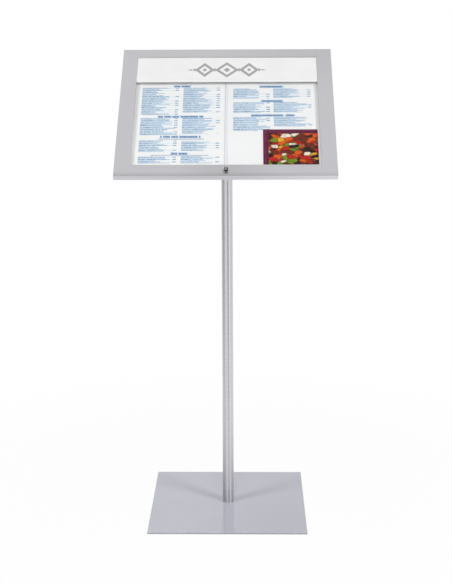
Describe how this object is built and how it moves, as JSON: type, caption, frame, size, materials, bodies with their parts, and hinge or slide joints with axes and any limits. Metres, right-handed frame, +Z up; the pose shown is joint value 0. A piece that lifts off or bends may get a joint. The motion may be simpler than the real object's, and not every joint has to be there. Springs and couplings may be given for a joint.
{
  "type": "menu display stand",
  "caption": "Lockable two-page display case, sloped like a lectern on a slim round pole with a thin square base plate; its door hinges along the top edge.",
  "frame": {"origin": "on the floor under the pole's axis, at the underside of the centre pad", "axes": "+X to the reader's right, +Y away from the reader, +Z up along the pole"},
  "size_m": [0.51, 0.3931, 1.1458],
  "materials": {
    "plate_finish": "satin silver-grey powder coat",
    "frame_aluminium": "satin silver anodised",
    "pole_steel": "brushed along the tube",
    "panel_aluminium": "pale satin sheet",
    "zinc_steel": "bright zinc plate",
    "lock_chrome": "polished",
    "clear_pane": "clear acrylic",
    "header_white": "white, plain",
    "menu_page": null,
    "divider_plastic": "pale grey",
    "foam_black": "soft foam",
    "pad_rubber": "matt",
    "set_screw_black": "black oxide"
  },
  "bodies": {
    "stand": {"base_plate": "plate_finish", "corner_pads": "pad_rubber", "centre_pad": "pad_rubber", "base_bolt": "zinc_steel", "foot_plug": "zinc_steel", "pole_tube": "pole_steel", "head_spigot": "zinc_steel", "set_screws": "set_screw_black", "bracket_plate": "plate_finish", "bracket_screws": "zinc_steel", "back_panel": "panel_aluminium", "tray_rail_left": "frame_aluminium", "tray_rail_right": "frame_aluminium", "tray_rail_top": "frame_aluminium", "tray_rail_bottom": "frame_aluminium", "tray_rivets": "zinc_steel", "page_ledge": "panel_aluminium", "page_left": "menu_page", "page_right": "menu_page", "divider_strip": "divider_plastic", "lock_keeper": "zinc_steel", "hinge_case_leaf_left": "zinc_steel", "hinge_case_leaf_right": "zinc_steel", "hinge_pin_left": "zinc_steel", "hinge_pin_right": "zinc_steel", "case_leaf_screws": "zinc_steel"},
    "door": {"door_rail_left": "frame_aluminium", "door_rail_right": "frame_aluminium", "door_rail_top": "frame_aluminium", "door_rail_bottom": "frame_aluminium", "door_corner_keys": "zinc_steel", "door_seal": "foam_black", "pane_tape": "foam_black", "door_pane": "clear_pane", "header_panel": "header_white", "hinge_door_leaf_left": "zinc_steel", "hinge_door_leaf_right": "zinc_steel", "door_leaf_screws": "zinc_steel", "lock_housing": "lock_chrome", "lock_nut": "zinc_steel"},
    "lock": {"lock_plug": "lock_chrome", "lock_cam": "zinc_steel", "cam_screw": "zinc_steel"}
  },
  "joints": [
    {"name": "door_hinge", "type": "hinge", "parent": "stand", "child": "door", "pos_m": [0, 0.13958, 1.13233], "axis": [-1, 0, 0], "range_deg": [0, 110]},
    {"name": "lock_turn", "type": "hinge", "parent": "door", "child": "lock", "pos_m": [0, -0.18438, 0.89123], "axis": [0, 0.6293, -0.7771], "range_deg": [0, 90]}
  ]
}
